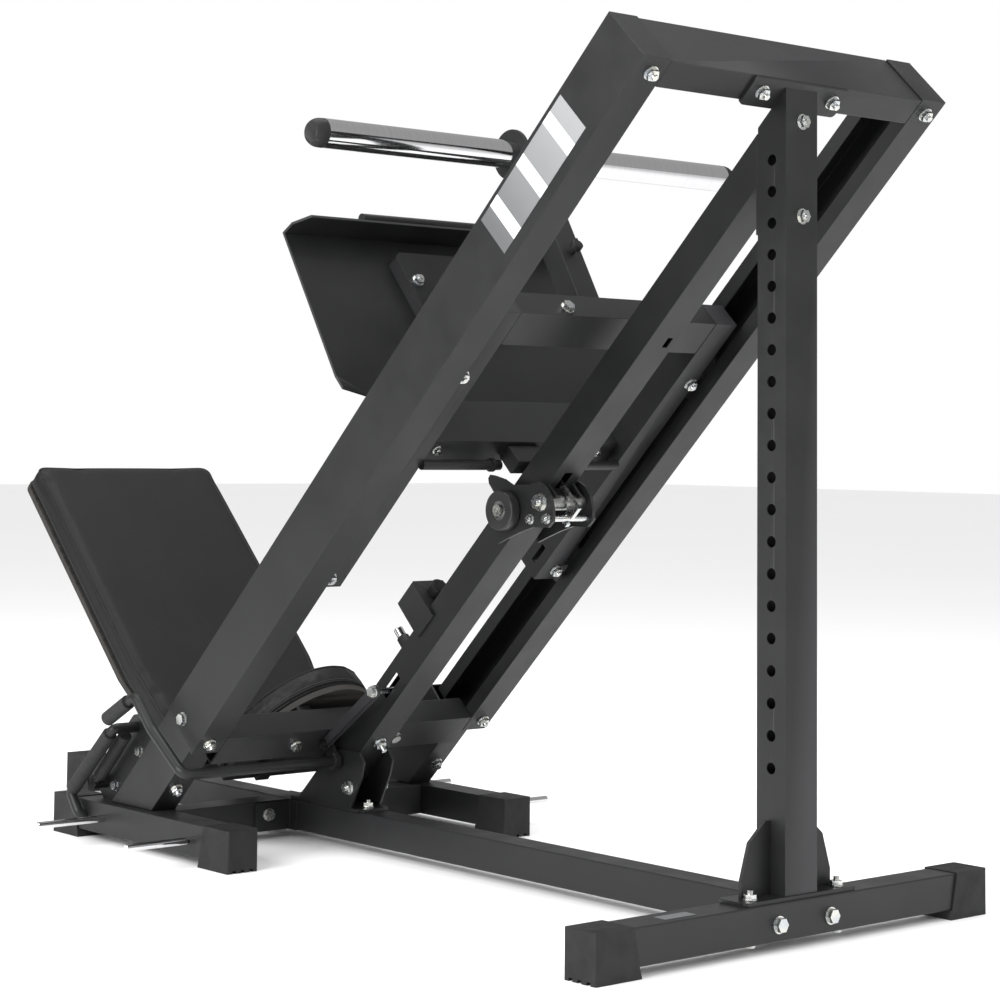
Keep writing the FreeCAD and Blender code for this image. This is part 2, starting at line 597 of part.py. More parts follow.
def build_link():
    x0 = -core_half - 32
    lower = Vec(x0, crank_pin_s, crank_pin_u)
    upper = Vec(x0, link_s, link_u)
    body = slotted_arm(upper, lower, 12, 10, 6)
    slack = slotted_arm(lower + Vec(-1, 0, -1.5), lower + Vec(-1, 0, 1.5), 5.7, 5.7, 9)
    body = body.cut(slack).cut(Part.makeCylinder(6.05, 12, upper - X_AXIS * 2, X_AXIS))
    parts["catch_link"] = tilt(body)
    shaft = Part.makeCylinder(7.5, pivot_u + 39 - link_u, Vec(0, link_s, link_u - 14), Z_AXIS)
    cross = Part.makeCylinder(6.0, core_half + 36, Vec(-core_half - 36, link_s, link_u), X_AXIS)
    leg = box(-4, 4, 828, link_s + 2, pivot_u + 16, pivot_u + 24)
    toe = box(-4, 4, 828, 848, pivot_u - 22, pivot_u + 18)
    notch = box(-5, 5, 827, 843, pivot_u - 9 - 5.6, pivot_u - 9 + 5.6)
    drop = leg.fuse(toe).cut(notch)
    nut = bolt_head(Vec(-core_half - 33, link_s, link_u), Vec(-1, 0, 0), 11, 0)
    parts["push_rod"] = tilt(shaft.fuse([cross, drop, nut]))


# ---- pads ---------------------------------------------------------------------------------
def build_pads():
    low_half = pad_half - 34
    taper_s = 1340.0
    outline = [(-pad_half, pad_s1), (-pad_half, taper_s), (-low_half, pad_s0)]
    outline += [(-x, s) for x, s in reversed(outline)]
    points = [Vec(x, s, pad_u - pad_t) for x, s in outline]
    pad = round_edges(prism(points, pad_t, Z_AXIS), 28, Z_AXIS)
    parts["back_pad"] = tilt(pad)
    inner = [Vec(x * 0.985, pad_s1 - 4 if s > taper_s else (pad_s0 + 4 if s < taper_s else s),
                 pad_u - pad_t - board_t) for x, s in outline]
    back_board = round_edges(prism(inner, board_t, Z_AXIS), 26, Z_AXIS)
    parts["seat_pad"] = tilt(seat_outline(seat_half, seat_nose, 0).extrude(Vec(0, seat_s1 - seat_s0, 0))
                             .translated(Vec(0, seat_s0, 0)))
    board = seat_outline(seat_half - 5, seat_nose - 5, 5).extrude(Vec(0, 12, 0)).translated(
        Vec(0, seat_s0 - 12.0, 0))
    shared("pad_boards", [tilt(back_board), tilt(board)])


def seat_outline(half, nose, inset):
    """D shape in the X-U plane: straight back edge, half-ellipse nose up the slope."""
    tip = seat_u1 - inset
    start = tip - nose
    back = seat_u0 + inset
    arc = Part.Ellipse(Vec(0, 0, start + nose), Vec(half, 0, start), Vec(0, 0, start))
    curve = arc.toShape()
    face = Part.Face(Part.Wire([curve]))
    lower = Part.Face(Part.makePolygon([Vec(-half, 0, start), Vec(half, 0, start), Vec(half, 0, back),
                                        Vec(-half, 0, back), Vec(-half, 0, start)]))
    keep = Part.Face(Part.makePolygon([Vec(-half - 1, 0, back), Vec(half + 1, 0, back), Vec(half + 1, 0, tip + 1),
                                       Vec(-half - 1, 0, tip + 1), Vec(-half - 1, 0, back)]))
    return face.fuse(lower).removeSplitter().common(keep).Faces[0]


def build_pad_supports():
    z0 = base_z + base_h
    back_u = pad_u - pad_t - board_t
    spine = tube(-25, 25, 1110, 1760, back_u - 40, back_u, "Y")
    spine = tilt(spine).cut(box(-200, 200, 900, 2400, -100, z0))
    parts["back_spine"] = spine
    post = tube(-25, 25, 1778, 1828, z0, 700, "Z")
    keep_out = tilt(box(-60, 60, 900, 2200, back_u - 40, 0))
    parts["back_post"] = post.cut(keep_out)
    straps = []
    for s in (1250.0, 1620.0):
        strap = tilt(box(-150, -25, s - 20, s + 20, back_u - 6, back_u))
        straps += [strap, mirror(strap)]
    runner = tilt(box(-95, -65, frame_s1, seat_s0 - 12.0, seat_u0 + 20, seat_u1 - 45))
    shared("pad_straps", straps + [runner, mirror(runner)])


# ---- handles ------------------------------------------------------------------------------
def build_handles():
    bottom_y, bottom_z = 1509.0, 46.0
    top_y, top_z = 1394.0, 221.0
    knee_y, knee_z = 1541.0, 86.0
    inner_x = -side_x - base_w / 2
    plate_x, plate_side = -322.0, 6.0
    points = [Vec(inner_x, bottom_y, bottom_z), Vec(handle_x, bottom_y, bottom_z),
              Vec(handle_x, knee_y, knee_z), Vec(handle_x, top_y, top_z), Vec(plate_x, top_y, top_z)]
    bar = bent_tube(points, handle_r, 10.5)
    shared("seat_handles", [bar, mirror(bar)])
    run = (points[3] - points[2]).normalize()
    a = points[2] + run * 12
    b = points[3] - run * 16
    foam = rod(a, b, 14.0).cut(rod(a - run * 5, b + run * 5, handle_r))
    plate = box(plate_x, plate_x + plate_side, post_s1, 1166, -1012, -808)
    plate = plate.makeFillet(20, [e for e in plate.Edges if abs(e.CenterOfMass.y - 1166) < 0.1 and
                                  abs(e.Length - 6) < 0.1])
    peg_s, peg_u = 1136.0, -990.0
    peg_x = plate_x - 21
    peg = Part.makeCylinder(9, 130, Vec(peg_x, peg_s, peg_u + 12), Z_AXIS)
    foot = box(peg_x - 9, plate_x, peg_s - 12, peg_s + 12, peg_u, peg_u + 12)
    bracket = tilt(plate.fuse([peg, foot])).cut(box(-500, 0, 900, 1900, -400, base_z + base_h))
    shared("grip_brackets", [bracket, mirror(bracket)])
    sleeve = Part.makeCylinder(13, 120, Vec(peg_x, peg_s, peg_u + 26), Z_AXIS)
    sleeve = sleeve.cut(Part.makeCylinder(9, 118, Vec(peg_x, peg_s, peg_u + 24), Z_AXIS))
    sleeve = tilt(sleeve)
    shared("foam_grips", [foam, mirror(foam), sleeve, mirror(sleeve)])


# ---- fasteners ----------------------------------------------------------------------------
def build_fasteners():
    z1 = base_z + base_h
    down_s = Vec(0, -1, 0)
    up_u = Vec(0, 0, 1)
    frame = []
    for x in (-60, 60):
        frame.append(bolt_head(Vec(x, rear_y, 42), Vec(0, -1, 0), 13))
    for x in (-100, 100):
        frame.append(bolt_head(Vec(x, rear_y + 22, z1 + foot_t), Z_AXIS, 11, 6))
        frame.append(bolt_head(Vec(x, rear_y + 22, base_z), Vec(0, 0, -1), 9))
    for x in (-88, 88):
        frame.append(bolt_head(Vec(x, cross_y - 6, base_z + base_h / 2 + 4), Vec(0, -1, 0), 12))
    for y in (1086.0, 1277.5):
        frame.append(bolt_head(Vec(0, y, z1 + foot_t), Z_AXIS, 11, 5))
    for z in (1133.0, 1283.0):
        frame.append(bolt_head(Vec(0, upright_y, z), Vec(0, -1, 0), 12, 4))
    for x in (-83, 83):
        frame.append(tilt(bolt_head(Vec(x, rail_s0 - head_t, 922), down_s, 12, 7)))
    for side in (-1, 1):
        frame.append(tilt(bolt_head(Vec(side * 325, rail_s0, 922), down_s, 12, 6)))
        frame.append(tilt(bolt_head(Vec(side * 332, rail_s0, -650), down_s, 12, 6)))
        frame.append(tilt(bolt_head(Vec(side * rail_out, 1020, -655), Vec(side, 0, 0), 12)))
        frame.append(tilt(bolt_head(Vec(side * 120, frame_s0, -678), down_s, 12)))
        frame.append(tilt(bolt_head(Vec(side * 318, post_s0, -808), down_s, 12, 6)))
        for s, u in ((1100.0, -850.0), (1106.0, -960.0)):
            frame.append(tilt(bolt_head(Vec(side * 322, s, u), Vec(side, 0, 0), 10)))
        frame.append(bolt_head(Vec(side * (core_half + 5), 1096, 118), Vec(side, 0, 0), 13, 5))
    frame.append(tilt(bolt_head(Vec(0, core_s0, -600), down_s, 12, 12)))
    shared("frame_bolts", frame)
    carriage = []
    for side in (-1, 1):
        carriage.append(tilt(bolt_head(Vec(side * 118, 1004, carr_u1), up_u, 12)))
        carriage.append(tilt(bolt_head(Vec(side * 190, heel_s, 62), down_s, 9, 3)))
        for u in wheel_us:
            carriage.append(tilt(bolt_head(Vec(side * 272, member_s0, u), down_s, 12, 4)))
    run = Vec(0, plate_top[0] - plate_low[0], plate_top[1] - plate_low[1]).normalize()
    back = Vec(0, -run.z, run.y)
    for x in (-106, 106):
        spot = Vec(x, plate_low[0], plate_low[1]) + run * 238 + back * 26
        carriage.append(bolt_head(spot, back, 11, 5))
    shared("carriage_bolts", carriage)


def build_decal():
    """Plain panel on the outside of the left rail and a blank label; they carry no lettering."""
    panel = box(-rail_out - 0.6, -rail_out, rail_s0 + 20, rail_s1 - 8, 534, 793)
    label = box(-292, -226, rear_y + 14, rear_y + 38, base_z + base_h, base_z + base_h + 0.6)
    shared("plain_labels", [tilt(panel), label])


def main():
    build_base()
    build_pegs()
    build_upright()
    build_top()
    build_rails()
    build_centre()
    build_carriage()
    build_foot_plate()
    build_catch()
    build_stop()
    build_lever()
    build_link()
    build_pads()
    build_pad_supports()
    build_handles()
    build_fasteners()
    build_decal()
    whole = FreeCAD.BoundBox()
    for shape in parts.values():
        whole.add(shape.BoundBox)
    shift = Vec(0, -(whole.YMin + whole.YMax) / 2, 0)
    print("box", round(whole.XMin, 1), round(whole.XMax, 1), round(whole.YMin, 1), round(whole.YMax, 1),
          round(whole.ZMin, 1), round(whole.ZMax, 1), "shift", round(shift.y, 2), "nodes", len(parts))
    os.makedirs("parts", exist_ok=True)
    for name, shape in parts.items():
        moved = shape.translated(shift)
        if not moved.isValid():
            print("not valid:", name)
        moved.exportStep("parts/" + name + ".step")


main()
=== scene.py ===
"""Looks of the 45 degree leg press and hack squat machine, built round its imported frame, in metres.

X runs across the machine, Y from the upright to the seat, Z is up. Pieces on the slope are made in
the rail frame (X, S, U): S is the height square to the slope and U runs up the slope.
"""

import json
import math

import bmesh
import bpy
from mathutils import Matrix, Vector
from mathutils.bvhtree import BVHTree


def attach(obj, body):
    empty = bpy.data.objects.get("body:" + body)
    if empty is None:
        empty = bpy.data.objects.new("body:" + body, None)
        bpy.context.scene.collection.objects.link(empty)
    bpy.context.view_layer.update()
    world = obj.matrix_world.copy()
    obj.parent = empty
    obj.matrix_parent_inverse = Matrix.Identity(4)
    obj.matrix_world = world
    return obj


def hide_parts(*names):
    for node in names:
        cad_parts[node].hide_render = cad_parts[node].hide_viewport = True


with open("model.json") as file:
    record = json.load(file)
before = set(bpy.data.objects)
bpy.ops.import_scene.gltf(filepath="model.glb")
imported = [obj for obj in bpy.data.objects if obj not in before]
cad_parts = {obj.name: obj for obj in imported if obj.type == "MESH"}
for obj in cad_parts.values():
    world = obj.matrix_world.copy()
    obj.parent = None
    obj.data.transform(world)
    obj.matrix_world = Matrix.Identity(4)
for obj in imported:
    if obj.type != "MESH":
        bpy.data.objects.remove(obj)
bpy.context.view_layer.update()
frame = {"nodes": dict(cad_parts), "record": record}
nodes = frame["nodes"]

# ---- camera -------------------------------------------------------------------------------
camera_at = Vector((-2.8611, -3.5399, 0.7728))
camera_yaw = 39.654        # degrees, from +Y towards +X
camera_pitch = 4.051
camera_roll = 0.692
camera_lens = 85.89        # mm on a 36 mm sensor
camera_shift = (0.0850, -0.2283)

# ---- soft pieces --------------------------------------------------------------------------
voxel = 0.0055             # remesh size of the pads
pad_inset = 0.0020         # the pads start this much smaller than their space, then swell
pad_pressure = 4.0
pad_frames = 20
pad_cap = 0.007            # furthest a point of a pad may move
piping_r = 0.0022
seam_r = 0.0011
pad_corner = 0.028         # radius of the back pad's corners
seat_nose = 0.213          # length of the seat's rounded nose
outline_step = (0.008, 0.006)      # spacing of outline points: back pad, seat
piping_depth = 0.0050      # front piping below the top face
back_seam_depths = (0.036, 0.041)  # sewn seam and rear piping of the back pad
seat_seam_depths = (0.037, 0.042)  # and of the seat

# ---- edges, floor and light ---------------------------------------------------------------
rounding = {"black_powder_coat": 0.0028, "black_rubber": 0.0025, "zinc_steel": 0.0006}
sheet_rounding = 0.001     # edges of pieces cut from sheet
weld_gap = 0.00002
round_angle = 50.0         # degrees; softer edges stay as they are
floor_size = 60
sky_direct, sky_mirrored = 1.0, 0.45
light_target = (0, 0, 0.6)

slope = Matrix.Rotation(math.radians(45), 4, "X")
to_rail = slope.inverted()


# ---- node helpers -------------------------------------------------------------------------
class Shader:
    """A Principled material and short ways to add nodes to it."""

    def __init__(self, name, color=(0.5, 0.5, 0.5), rough=0.5, metal=0.0):
        self.mat = bpy.data.materials.new(name)
        self.mat.use_nodes = True
        self.tree = self.mat.node_tree
        self.bsdf = self.tree.nodes["Principled BSDF"]
        self.bsdf.inputs["Base Color"].default_value = (*color, 1)
        self.bsdf.inputs["Roughness"].default_value = rough
        self.bsdf.inputs["Metallic"].default_value = metal
        self.coords = self.node("ShaderNodeTexCoord").outputs["Object"]

    def node(self, kind, **settings):
        made = self.tree.nodes.new(kind)
        for key, value in settings.items():
            setattr(made, key, value)
        return made

    def link(self, a, b):
        self.tree.links.new(a, b)

    def stretched(self, scale, turn=0.0):
        mapping = self.node("ShaderNodeMapping")
        mapping.inputs["Scale"].default_value = scale
        mapping.inputs["Rotation"].default_value = (math.radians(turn), 0, 0)
        self.link(self.coords, mapping.inputs["Vector"])
        return mapping.outputs["Vector"]

    def noise(self, scale, detail=4.0, vector=None):
        made = self.node("ShaderNodeTexNoise")
        made.inputs["Scale"].default_value = scale
        made.inputs["Detail"].default_value = detail
        self.link(vector or self.coords, made.inputs["Vector"])
        return made.outputs["Fac"]

    def voronoi(self, scale, feature="DISTANCE_TO_EDGE", vector=None):
        made = self.node("ShaderNodeTexVoronoi", feature=feature)
        made.inputs["Scale"].default_value = scale
        self.link(vector or self.coords, made.inputs["Vector"])
        return made.outputs["Distance"]

    def ramp(self, value, low, high, at=(0.3, 0.7)):
        """Value mapped to a colour or grey between low and high."""
        made = self.node("ShaderNodeValToRGB")
        first, second = made.color_ramp.elements
        first.position, second.position = at
        first.color = (*low, 1) if isinstance(low, tuple) else (low, low, low, 1)
        second.color = (*high, 1) if isinstance(high, tuple) else (high, high, high, 1)
        self.link(value, made.inputs["Fac"])
        return made.outputs["Color"]

    def mix(self, factor, a, b, mode="MIX"):
        made = self.node("ShaderNodeMix", data_type="RGBA", blend_type=mode)
        for socket, value in ((made.inputs["Factor"], factor), (made.inputs["A"], a), (made.inputs["B"], b)):
            if isinstance(value, (int, float)):
                socket.default_value = value
            elif isinstance(value, tuple):
                socket.default_value = (*value, 1)
            else:
                self.link(value, socket)
        return made.outputs["Result"]

    def bump(self, height, strength, distance, under=None):
        made = self.node("ShaderNodeBump")
        made.inputs["Strength"].default_value = strength
        made.inputs["Distance"].default_value = distance
        self.link(height, made.inputs["Height"])
        if under:
            self.link(under, made.inputs["Normal"])
        return made.outputs["Normal"]

    def edges(self, low=0.53, high=0.6):
        """0 on flat ground, 1 on sharp outer edges."""
        point = self.node("ShaderNodeNewGeometry").outputs["Pointiness"]
        return self.ramp(point, 0.0, 1.0, at=(low, high))

    def use(self, color=None, rough=None, normal=None):
        for name, value in (("Base Color", color), ("Roughness", rough), ("Normal", normal)):
            if value is not None:
                self.link(value, self.bsdf.inputs[name])
        return self.mat


# ---- materials ----------------------------------------------------------------------------
def powder_coat():
    """Black, finely textured powder coat whose sharp edges are painted lighter as a painted highlight."""
    m = Shader("black_powder_coat")
    patches = m.ramp(m.noise(7.0, 5.0), (0.0075, 0.0077, 0.0082), (0.0115, 0.0117, 0.0122))
    grain = m.noise(2600.0, 2.0)
    speck = m.ramp(grain, (0.75, 0.75, 0.75), (1.35, 1.35, 1.35), at=(0.35, 0.65))
    color = m.mix(1.0, patches, speck, "MULTIPLY")
    # painted highlight: the sharp outer edges are painted lighter, as if catching the light
    color = m.mix(m.edges(), color, (0.026, 0.026, 0.028))
    rough = m.ramp(m.noise(14.0, 6.0), 0.36, 0.47)
    peel = m.bump(m.noise(520.0, 3.0), 0.12, 0.0006)
    normal = m.bump(grain, 0.22, 0.0003, peel)
    m.bsdf.inputs["Specular IOR Level"].default_value = 0.32
    return m.use(color, rough, normal)


def zinc_steel():
    """Bright zinc plating with a faint blue and yellow cast and fine turning marks."""
    m = Shader("zinc_steel", metal=1.0)
    cast = m.ramp(m.noise(60.0, 3.0), (0.50, 0.53, 0.56), (0.66, 0.65, 0.60))
    rough = m.ramp(m.noise(320.0, 4.0), 0.16, 0.34)
    normal = m.bump(m.noise(1500.0, 2.0), 0.12, 0.0003)
    return m.use(cast, rough, normal)


def chrome():
    """Polished chrome; plates have left faint rings round it."""
    m = Shader("chrome", metal=1.0)
    rings = m.noise(1.0, 5.0, m.stretched((900, 6, 6)))
    color = m.ramp(rings, (0.60, 0.60, 0.61), (0.68, 0.68, 0.69))
    rough = m.ramp(rings, 0.06, 0.11)
    normal = m.bump(rings, 0.04, 0.0002)
    return m.use(color, rough, normal)


def bearing_steel():
    m = Shader("bearing_steel", metal=1.0)
    color = m.ramp(m.noise(90.0), (0.24, 0.24, 0.235), (0.38, 0.38, 0.37))
    return m.use(color, m.ramp(m.noise(700.0), 0.22, 0.42), m.bump(m.noise(1800.0), 0.1, 0.0002))


def black_rubber():
    """Moulded rubber with a dull skin, dust in its pores and sharp edges painted paler as a painted
    highlight.
    """
    m = Shader("black_rubber")
    m.bsdf.inputs["Specular IOR Level"].default_value = 0.28
    base = m.ramp(m.noise(22.0, 6.0), (0.006, 0.006, 0.0063), (0.012, 0.012, 0.0123))
    # painted highlight: the sharp edges are painted paler
    color = m.mix(m.edges(0.52, 0.62), base, (0.036, 0.036, 0.036))
    rough = m.ramp(m.noise(45.0, 5.0), 0.50, 0.68)
    fine = m.bump(m.noise(1400.0, 3.0), 0.25, 0.0004)
    return m.use(color, rough, m.bump(m.noise(160.0, 3.0), 0.1, 0.0006, fine))


def foam_grip():
    """Closed-cell foam: small pits all over, no shine."""
    m = Shader("foam_grip")
    cells = m.voronoi(900.0, "F1")
    color = m.ramp(cells, (0.020, 0.020, 0.021), (0.010, 0.010, 0.010), at=(0.1, 0.7))
    normal = m.bump(cells, 0.5, 0.0006)
    return m.use(color, m.ramp(m.noise(80.0), 0.74, 0.9), m.bump(m.noise(60.0), 0.1, 0.001, normal))


def black_vinyl():
    """Upholstery vinyl: a pebbled grain of two sizes over soft unevenness of the foam."""
    m = Shader("black_vinyl")
    m.bsdf.inputs["Specular IOR Level"].default_value = 0.24
    wander = m.node("ShaderNodeVectorMath", operation="ADD")
    m.link(m.coords, wander.inputs[0])
    drift = m.ramp(m.noise(350.0, 2.0), 0.0, 0.003, at=(0.0, 1.0))
    m.link(drift, wander.inputs[1])
    pebbles = m.voronoi(620.0, "F1", wander.outputs["Vector"])
    creases = m.voronoi(310.0, "DISTANCE_TO_EDGE", wander.outputs["Vector"])
    base = m.ramp(m.noise(9.0, 4.0), (0.0055, 0.0055, 0.0058), (0.0080, 0.0080, 0.0084))
    # painted shade: the creases of the grain are painted darker
    color = m.mix(m.ramp(creases, 0.5, 0.0, at=(0.0, 0.08)), base, (0.004, 0.004, 0.0045))
    rough = m.ramp(pebbles, 0.40, 0.54, at=(0.0, 0.8))
    swell = m.bump(m.noise(18.0, 2.0), 0.12, 0.004)
    grain = m.bump(pebbles, 0.30, 0.0005, swell)
    normal = m.bump(m.ramp(creases, 0.0, 1.0, at=(0.0, 0.10)), 0.25, 0.0004, grain)
    return m.use(color, rough, normal)


def thread():
    m = Shader("thread")
    twist = m.noise(1.0, 2.0, m.stretched((1500, 1500, 1500), 45))
    return m.use(m.ramp(twist, (0.010, 0.010, 0.010), (0.032, 0.032, 0.033)),
                 m.ramp(twist, 0.6, 0.85), m.bump(twist, 0.4, 0.0004))


def pad_board():
    """Black-stained plywood with long dark grain."""
    m = Shader("pad_board")
    grain = m.noise(1.0, 6.0, m.stretched((14, 160, 14), 45))
    return m.use(m.ramp(grain, (0.010, 0.009, 0.008), (0.030, 0.027, 0.024)), m.ramp(grain, 0.6, 0.8),
                 m.bump(grain, 0.2, 0.0006))


def wheel_nylon():
    m = Shader("wheel_nylon")
    rings = m.noise(1.0, 3.0, m.stretched((500, 20, 20)))
    color = m.ramp(rings, (0.014, 0.014, 0.015), (0.026, 0.026, 0.027))
    return m.use(color, m.ramp(m.noise(40.0), 0.30, 0.45), m.bump(rings, 0.08, 0.0003))


def plain_label():
    """Plain grey panel that grows paler up the slope, with three bare pale bars across it."""
    m = Shader("plain_label")
    axis = m.node("ShaderNodeVectorMath", operation="DOT_PRODUCT")
    axis.inputs[1].default_value = (0, -math.sqrt(0.5), math.sqrt(0.5))
    m.link(m.coords, axis.inputs[0])
    along = axis.outputs["Value"]
    span = m.node("ShaderNodeMapRange")
    low_u, high_u = decal_span()
    span.inputs["From Min"].default_value = low_u
    span.inputs["From Max"].default_value = high_u
    m.link(along, span.inputs["Value"])
    tone = m.ramp(span.outputs["Result"], (0.10, 0.103, 0.106), (0.26, 0.265, 0.27), at=(0.05, 0.95))
    bars = m.node("ShaderNodeTexWave", wave_type="BANDS", bands_direction="X", wave_profile="SIN")
    bars.inputs["Scale"].default_value = 0.95
    place = m.node("ShaderNodeCombineXYZ")
    m.link(span.outputs["Result"], place.inputs["X"])
    m.link(place.outputs["Vector"], bars.inputs["Vector"])
    speckle = m.ramp(m.noise(900.0), 0.94, 1.0)
    color = m.mix(m.ramp(bars.outputs["Fac"], 0.0, 1.0, at=(0.80, 0.84)), tone, (0.62, 0.62, 0.62))
    color = m.mix(1.0, color, speckle, "MULTIPLY")
    return m.use(color, m.ramp(m.noise(30.0), 0.28, 0.4), m.bump(m.noise(1200.0), 0.05, 0.0002))


def decal_span():
    """Lowest and highest U of the panel on the rail."""
    us = [(to_rail @ v.co).z for v in nodes["plain_labels"].data.vertices if v.co.z > 0.3]
    return min(us), max(us)


makers = {"black_powder_coat": powder_coat, "zinc_steel": zinc_steel, "chrome": chrome,
          "bearing_steel": bearing_steel, "black_rubber": black_rubber, "foam_grip": foam_grip,
          "black_vinyl": black_vinyl, "pad_board": pad_board, "plain_label": plain_label,
          "wheel_nylon": wheel_nylon}
materials = {name: make() for name, make in makers.items()}
materials["thread"] = thread()


def dress_frame():
    """Every CAD node gets the detailed material of its slot; coated, rubber and zinc nodes also get rounded
    outer edges.
    """
    fine = ("catch_plates", "lever_crank", "catch_link", "foot_plate", "plate_mount",
            "upright_foot", "beam_flanges", "centre_foot", "pad_straps", "grip_brackets", "sleeve_discs")
    for entry in frame["record"]["subparts"]:
        node = nodes[entry["node"]]
        name = entry["material_slot"]
        node.data.materials.clear()
        node.data.materials.append(materials[name])
        if name not in rounding:
            continue
        weld = node.modifiers.new("weld", "WELD")
        weld.merge_threshold = weld_gap
        bevel = node.modifiers.new("round", "BEVEL")
        bevel.width = sheet_rounding if entry["node"] in fine else rounding[name]
        bevel.segments = 3
        bevel.limit_method = "ANGLE"
        bevel.angle_limit = math.radians(round_angle)
        bevel.harden_normals = True


# ---- pads ---------------------------------------------------------------------------------
def rail_points(node):
    """A CAD node's corners in the rail frame."""
    return [to_rail @ v.co for v in nodes[node].data.vertices]


def rounded(corners, radius, steps=8):
    """Closed outline with each corner turned into an arc."""
    path = []
    count = len(corners)
    for i, corner in enumerate(corners):
        before = (corners[i - 1] - corner).normalized()
        after = (corners[(i + 1) % count] - corner).normalized()
        half = before.angle(after) / 2
        reach = radius / math.tan(half)
        centre = corner + (before + after).normalized() * (radius / math.sin(half))
        a = corner + before * reach - centre
        b = corner + after * reach - centre
        turn = a.angle(b)
        for k in range(steps + 1):
            t = k / steps
            path.append(centre + (a * math.sin((1 - t) * turn) + b * math.sin(t * turn)) / math.sin(turn))
    return path


def resampled(path, step):
    """Closed outline with points about one step apart."""
    out = []
    for a, b in zip(path, path[1:] + path[:1]):
        count = max(1, round((b - a).length / step))
        out += [a.lerp(b, k / count) for k in range(count)]
    return out


def slab(name, outline, low, high, lift):
    """Closed solid of a 2-D outline between two heights; lift(point, height) places a corner."""
    bm = bmesh.new()
    bottom = [bm.verts.new(lift(p, low)) for p in outline]
    top = [bm.verts.new(lift(p, high)) for p in outline]
    bm.faces.new(list(reversed(bottom)))
    bm.faces.new(top)
    count = len(outline)
    for i in range(count):
        j = (i + 1) % count
        bm.faces.new((bottom[i], bottom[j], top[j], top[i]))
    bmesh.ops.recalc_face_normals(bm, faces=bm.faces)
    mesh = bpy.data.meshes.new(name)
    bm.to_mesh(mesh)
    bm.free()
    made = bpy.data.objects.new(name, mesh)
    bpy.context.collection.objects.link(made)
    return made


def apply_modifiers(thing):
    graph = bpy.context.evaluated_depsgraph_get()
    mesh = bpy.data.meshes.new_from_object(thing.evaluated_get(graph))
    thing.modifiers.clear()
    thing.data = mesh


def swell(thing, keep_inside):
    """Cloth under pressure: crowns the faces and pulls the sides in between the corners."""
    remesh = thing.modifiers.new("remesh", "REMESH")
    remesh.mode = "VOXEL"
    remesh.voxel_size = voxel
    apply_modifiers(thing)
    rest = [v.co.copy() for v in thing.data.vertices]
    cloth = thing.modifiers.new("cloth", "CLOTH")
    cloth.settings.use_pressure = True
    cloth.settings.uniform_pressure_force = pad_pressure
    cloth.settings.effector_weights.gravity = 0
    cloth.settings.quality = 5
    for step in range(1, pad_frames + 1):
        bpy.context.scene.frame_set(step)
    apply_modifiers(thing)
    bpy.context.scene.frame_set(1)
    for vertex, start in zip(thing.data.vertices, rest):
        move = vertex.co - start
        if move.length > pad_cap:
            vertex.co = start + move * (pad_cap / move.length)
    for vertex in thing.data.vertices:
        vertex.co = keep_inside(vertex.co)
    soften = thing.modifiers.new("soften", "SMOOTH")
    soften.factor = 0.5
    soften.iterations = 3
    subdivide = thing.modifiers.new("subdivide", "SUBSURF")
    subdivide.levels = 1
    subdivide.render_levels = 1
    apply_modifiers(thing)
    for face in thing.data.polygons:
        face.use_smooth = True


def tube_along(name, points, radius, material, body):
    curve = bpy.data.curves.new(name, "CURVE")
    curve.dimensions = "3D"
    curve.bevel_depth = radius
    curve.bevel_resolution = 3
    line = curve.splines.new("POLY")
    line.points.add(len(points) - 1)
    for point, place in zip(line.points, points):
        point.co = (*place, 1)
    line.use_cyclic_u = True
    made = bpy.data.objects.new(name, curve)
    bpy.context.collection.objects.link(made)
    mesh = bpy.data.meshes.new_from_object(made.evaluated_get(bpy.context.evaluated_depsgraph_get()))
    bpy.data.objects.remove(made)
    made = bpy.data.objects.new(name, mesh)
    bpy.context.collection.objects.link(made)
    mesh.materials.append(materials[material])
    for face in mesh.polygons:
        face.use_smooth = True
    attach(made, body)
    return made


def seam_on(pad, name, outline, height, lift, radius, material, outset):
    """Tube laid on the pad's side where it is cut at one height."""
    tree = BVHTree.FromObject(pad, bpy.context.evaluated_depsgraph_get())
    middle = sum(outline, Vector((0, 0))) / len(outline)
    count = len(outline)
    places = []
    for i, point in enumerate(outline):
        along = outline[(i + 1) % count] - outline[i - 1]
        out = Vector((along.y, -along.x)).normalized()
        if out.dot(point - middle) < 0:
            out = -out
        start = lift(point + out * 0.05, height)
        inward = (lift(point, height) - start).normalized()
        hit = tree.ray_cast(start, inward)[0]
        if hit is None:
            hit = lift(point, height)
        places.append(hit - inward * (radius * outset))
    smoothed = [(places[i - 1] + places[i] * 2 + places[(i + 1) % count]) / 4 for i in range(count)]
    return tube_along(name, smoothed, radius, material, "frame")


def upholster(name, node, outline, low, high, lift, drop, seams):
    """A stuffed pad in the space of a CAD node, with its piping and sewn seams."""
    inner = shrink(outline, pad_inset)
    pad = slab(name, inner, low + 0.001, high - pad_inset, lift)

    def keep_inside(co):
        place = drop(co)
        place.z = max(place.z, low + 0.0005)
        return lift(Vector((place.x, place.y)), place.z)

    swell(pad, keep_inside)
    pad.data.materials.append(materials["black_vinyl"])
    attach(pad, "frame")
    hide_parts(node)
    for label, depth, radius, material, outset in seams:
        seam_on(pad, name + "_" + label, inner, high - depth, lift, radius, material, outset)
    return pad


def shrink(outline, amount):
    """Outline moved inwards."""
    middle = sum(outline, Vector((0, 0))) / len(outline)
    count = len(outline)
    moved = []
    for i, point in enumerate(outline):
        along = outline[(i + 1) % count] - outline[i - 1]
        out = Vector((along.y, -along.x)).normalized()
        if out.dot(point - middle) < 0:
            out = -out
        moved.append(point - out * amount)
    return moved


